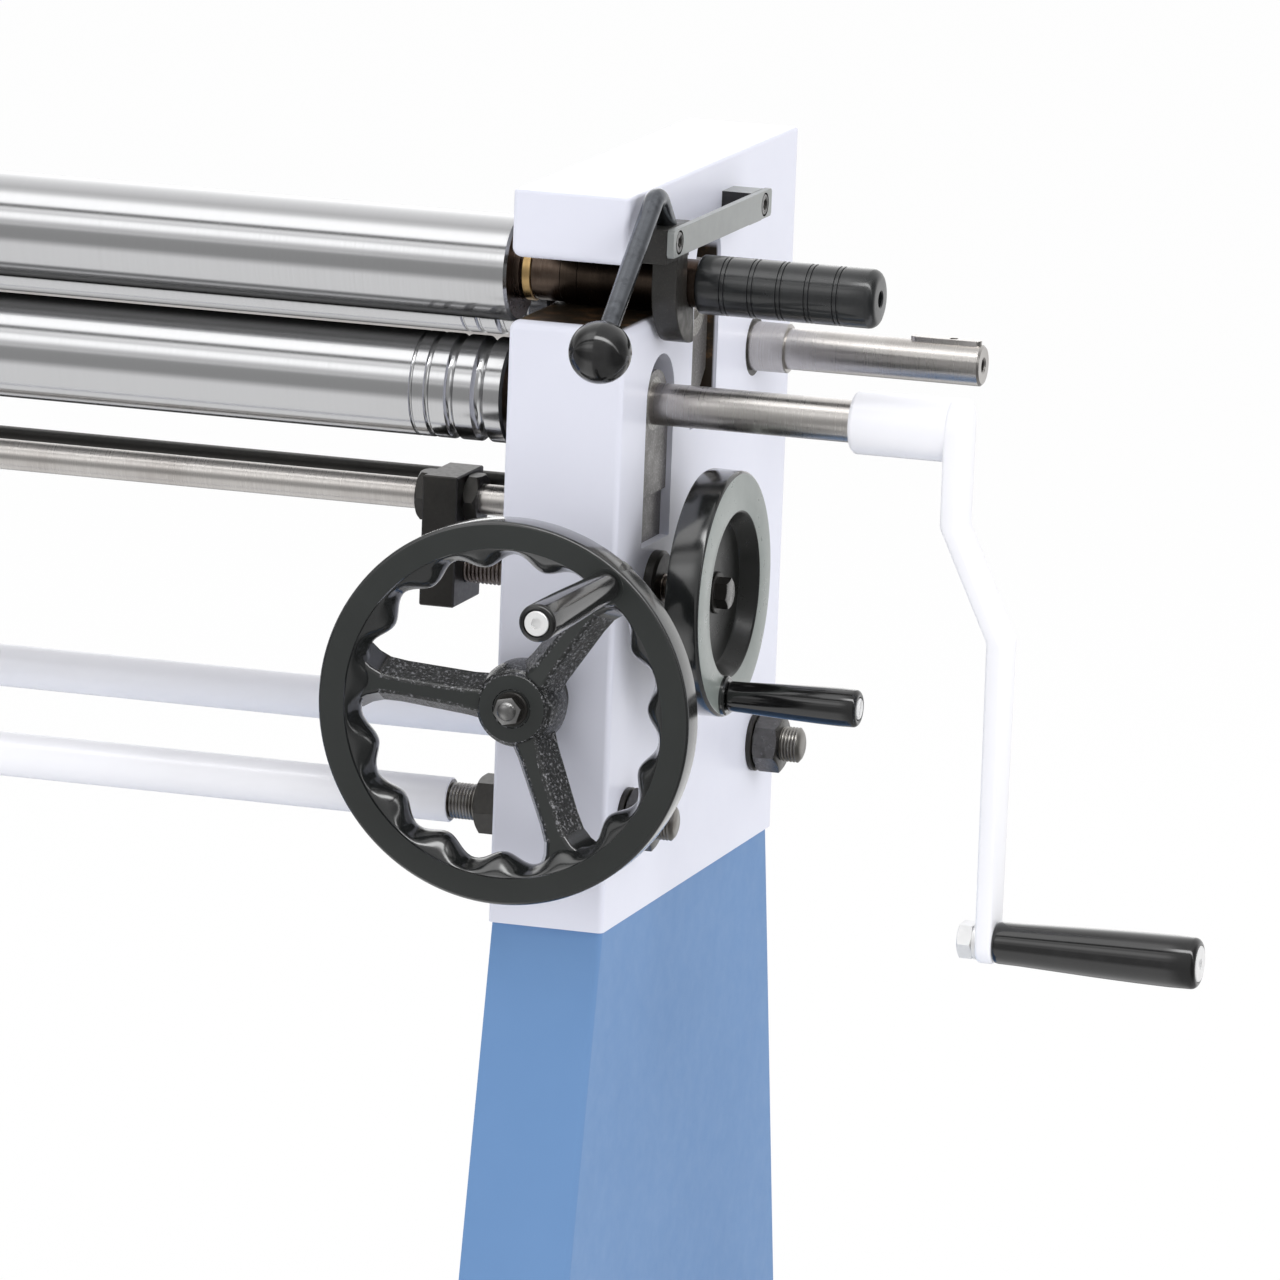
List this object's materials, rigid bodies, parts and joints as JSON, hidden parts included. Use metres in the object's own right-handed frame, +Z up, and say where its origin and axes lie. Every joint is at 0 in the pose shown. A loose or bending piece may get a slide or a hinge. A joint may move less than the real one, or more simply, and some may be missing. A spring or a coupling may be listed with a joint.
{
  "type": "slip roll",
  "caption": "Hand-cranked slip roll on two flared pedestals, with wedge-lifted pinch roll, rear bending roll, swing-out top roll and latch",
  "frame": {"origin": "centre of the four floor anchor holes, on the floor", "axes": "+X to the right along the rolls, towards the crank; +Y to the rear; +Z up"},
  "size_m": [1.7308, 0.7461, 1.1788],
  "materials": {
    "paint_white": "smooth gloss casting paint",
    "paint_blue": "smooth satin sheet paint",
    "paint_grey": "satin paint",
    "paint_wheel": "dark gloss casting paint",
    "steel_ground": "ground and polished steel",
    "steel_turned": "turned steel",
    "steel_dark": "blackened steel",
    "iron_grey": "machined iron",
    "bronze": "bearing bronze",
    "plastic_black": "gloss black moulding",
    "plastic_grip": "ribbed grip"
  },
  "bodies": {
    "frame": {"frame_casting_right": "paint_white", "frame_casting_left": "paint_white", "pedestal_right": "paint_blue", "pedestal_left": "paint_blue", "tie_bar_front": "paint_white", "tie_bar_rear": "paint_white", "tie_bar_nuts": "steel_turned", "tie_bar_washers": "steel_turned", "stay_rod": "steel_dark", "drive_bushes": "bronze", "idler_axle": "steel_turned", "gear_guard": "paint_white", "screw_bearings": "steel_dark", "swivel_pins": "steel_turned", "latch_bracket": "paint_grey"},
    "lower_lift": {"lower_block_right": "iron_grey", "lower_block_left": "iron_grey", "lower_bushes": "bronze"},
    "lower_spin": {"lower_roll": "steel_ground", "lower_roll_gear": "iron_grey", "lower_driven_gear": "iron_grey", "crank_arm": "paint_white", "crank_handle_pin": "steel_turned"},
    "crank_grip": {"crank_handle": "plastic_black"},
    "yoke": {"wedge_yoke": "steel_dark", "wedge_rod": "steel_turned", "wedge_rod_nuts": "steel_turned", "lower_wedge_right": "steel_turned", "lower_wedge_left": "steel_turned"},
    "side_wheel": {"side_handwheel": "paint_wheel", "side_screw": "steel_turned", "side_handle_pin": "steel_turned"},
    "side_grip": {"side_handle": "plastic_black"},
    "front_wheel_right": {"front_handwheel_right": "paint_wheel", "front_screw_right": "steel_turned", "front_handle_pin_right": "steel_turned"},
    "front_grip_right": {"front_handle_right": "plastic_black"},
    "front_wheel_left": {"front_handwheel_left": "paint_wheel", "front_screw_left": "steel_turned", "front_handle_pin_left": "steel_turned"},
    "front_grip_left": {"front_handle_left": "plastic_black"},
    "rear_wedges": {"rear_wedge_right": "steel_turned", "rear_wedge_left": "steel_turned"},
    "rear_lift": {"rear_block_right": "iron_grey", "rear_block_left": "iron_grey", "rear_bushes": "bronze"},
    "rear_spin": {"rear_roll": "steel_ground"},
    "top_swing": {"top_swivel_block": "iron_grey", "top_roll_sleeve": "bronze"},
    "top_spin": {"top_roll": "steel_ground", "top_roll_gear": "iron_grey", "top_roll_grip": "plastic_grip"},
    "latch_link": {"latch_link": "paint_grey", "latch_pins": "steel_turned"},
    "latch_hook": {"latch_hook": "steel_dark", "latch_knob": "plastic_black"},
    "drive": {"drive_shaft": "steel_turned", "drive_key": "steel_turned", "drive_pinion": "iron_grey"},
    "idler": {"idler_gear": "iron_grey"}
  },
  "joints": [
    {"name": "side_wheel_turn", "type": "hinge", "parent": "frame", "child": "side_wheel", "pos_m": [0.6805, -0.1125, 0.884], "axis": [1, 0, 0], "range_deg": [-2700, 0]},
    {"name": "yoke_slide", "type": "slide", "parent": "frame", "child": "yoke", "axis": [1, 0, 0], "range_m": [0, 0.03]},
    {"name": "lower_lift_slide", "type": "slide", "parent": "frame", "child": "lower_lift", "axis": [0, 0, 1], "range_m": [0, 0.012]},
    {"name": "lower_roll_turn", "type": "hinge", "parent": "lower_lift", "child": "lower_spin", "pos_m": [0.535, -0.1125, 1.015], "axis": [1, 0, 0], "continuous": true},
    {"name": "crank_handle_turn", "type": "hinge", "parent": "lower_spin", "child": "crank_grip", "pos_m": [0.883, -0.1125, 0.653], "axis": [1, 0, 0], "continuous": true},
    {"name": "side_handle_turn", "type": "hinge", "parent": "side_wheel", "child": "side_grip", "pos_m": [0.684, -0.1287, 0.81385], "axis": [1, 0, 0], "continuous": true},
    {"name": "front_wheel_turn", "type": "hinge", "parent": "frame", "child": "front_wheel_right", "pos_m": [0.563, -0.2725, 0.815], "axis": [0, 1, 0], "range_deg": [-1800, 8100]},
    {"name": "front_wheel_turn_left", "type": "hinge", "parent": "frame", "child": "front_wheel_left", "pos_m": [-0.563, -0.2725, 0.815], "axis": [0, 1, 0], "range_deg": [-1800, 8100]},
    {"name": "front_handle_turn", "type": "hinge", "parent": "front_wheel_right", "child": "front_grip_right", "pos_m": [0.63497, -0.2725, 0.91227], "axis": [0, 1, 0], "continuous": true},
    {"name": "front_handle_turn_left", "type": "hinge", "parent": "front_wheel_left", "child": "front_grip_left", "pos_m": [-0.63497, -0.2725, 0.91227], "axis": [0, 1, 0], "continuous": true},
    {"name": "rear_wedge_slide", "type": "slide", "parent": "frame", "child": "rear_wedges", "axis": [0, 1, 0], "range_m": [-0.09, 0.02]},
    {"name": "rear_lift_slide", "type": "slide", "parent": "frame", "child": "rear_lift", "axis": [0, 0, 1], "range_m": [-0.045, 0.01]},
    {"name": "rear_roll_turn", "type": "hinge", "parent": "rear_lift", "child": "rear_spin", "pos_m": [0.535, -0.0105, 1.075], "axis": [1, 0, 0], "continuous": true},
    {"name": "top_swing_turn", "type": "hinge", "parent": "frame", "child": "top_swing", "pos_m": [-0.611, -0.1125, 1.103], "axis": [0, 0, 1], "range_deg": [-6.5, 0]},
    {"name": "top_roll_turn", "type": "hinge", "parent": "top_swing", "child": "top_spin", "pos_m": [0.535, -0.1125, 1.103], "axis": [1, 0, 0], "continuous": true},
    {"name": "latch_link_turn", "type": "hinge", "parent": "frame", "child": "latch_link", "pos_m": [0.642, 0.0345, 1.14], "axis": [1, 0, 0], "range_deg": [-60, 0]},
    {"name": "latch_hook_turn", "type": "hinge", "parent": "latch_link", "child": "latch_hook", "pos_m": [0.632, -0.1675, 1.14], "axis": [1, 0, 0], "range_deg": [-180, 0]},
    {"name": "drive_shaft_turn", "type": "hinge", "parent": "frame", "child": "drive", "pos_m": [0.535, 0.11152, 1.024], "axis": [1, 0, 0], "continuous": true},
    {"name": "idler_turn", "type": "hinge", "parent": "frame", "child": "idler", "pos_m": [-0.645, 0.0116, 1.01999], "axis": [1, 0, 0], "continuous": true}
  ],
  "couplings": [
    {"joint": "yoke_slide", "follows": "side_wheel_turn", "m_per_rad": -0.00063662},
    {"joint": "lower_lift_slide", "follows": "side_wheel_turn", "m_per_rad": -0.00025465},
    {"joint": "top_roll_turn", "follows": "lower_roll_turn", "ratio": -1},
    {"joint": "front_wheel_turn_left", "follows": "front_wheel_turn", "ratio": 1},
    {"joint": "rear_wedge_slide", "follows": "front_wheel_turn", "m_per_rad": -0.00063662},
    {"joint": "rear_lift_slide", "follows": "front_wheel_turn", "m_per_rad": -0.00031831},
    {"joint": "latch_link_turn", "follows": "top_swing_turn", "ratio": 9.2308},
    {"joint": "latch_hook_turn", "follows": "top_swing_turn", "ratio": 27.692},
    {"joint": "idler_turn", "follows": "lower_roll_turn", "ratio": -0.61111},
    {"joint": "drive_shaft_turn", "follows": "lower_roll_turn", "ratio": 1.5714}
  ]
}
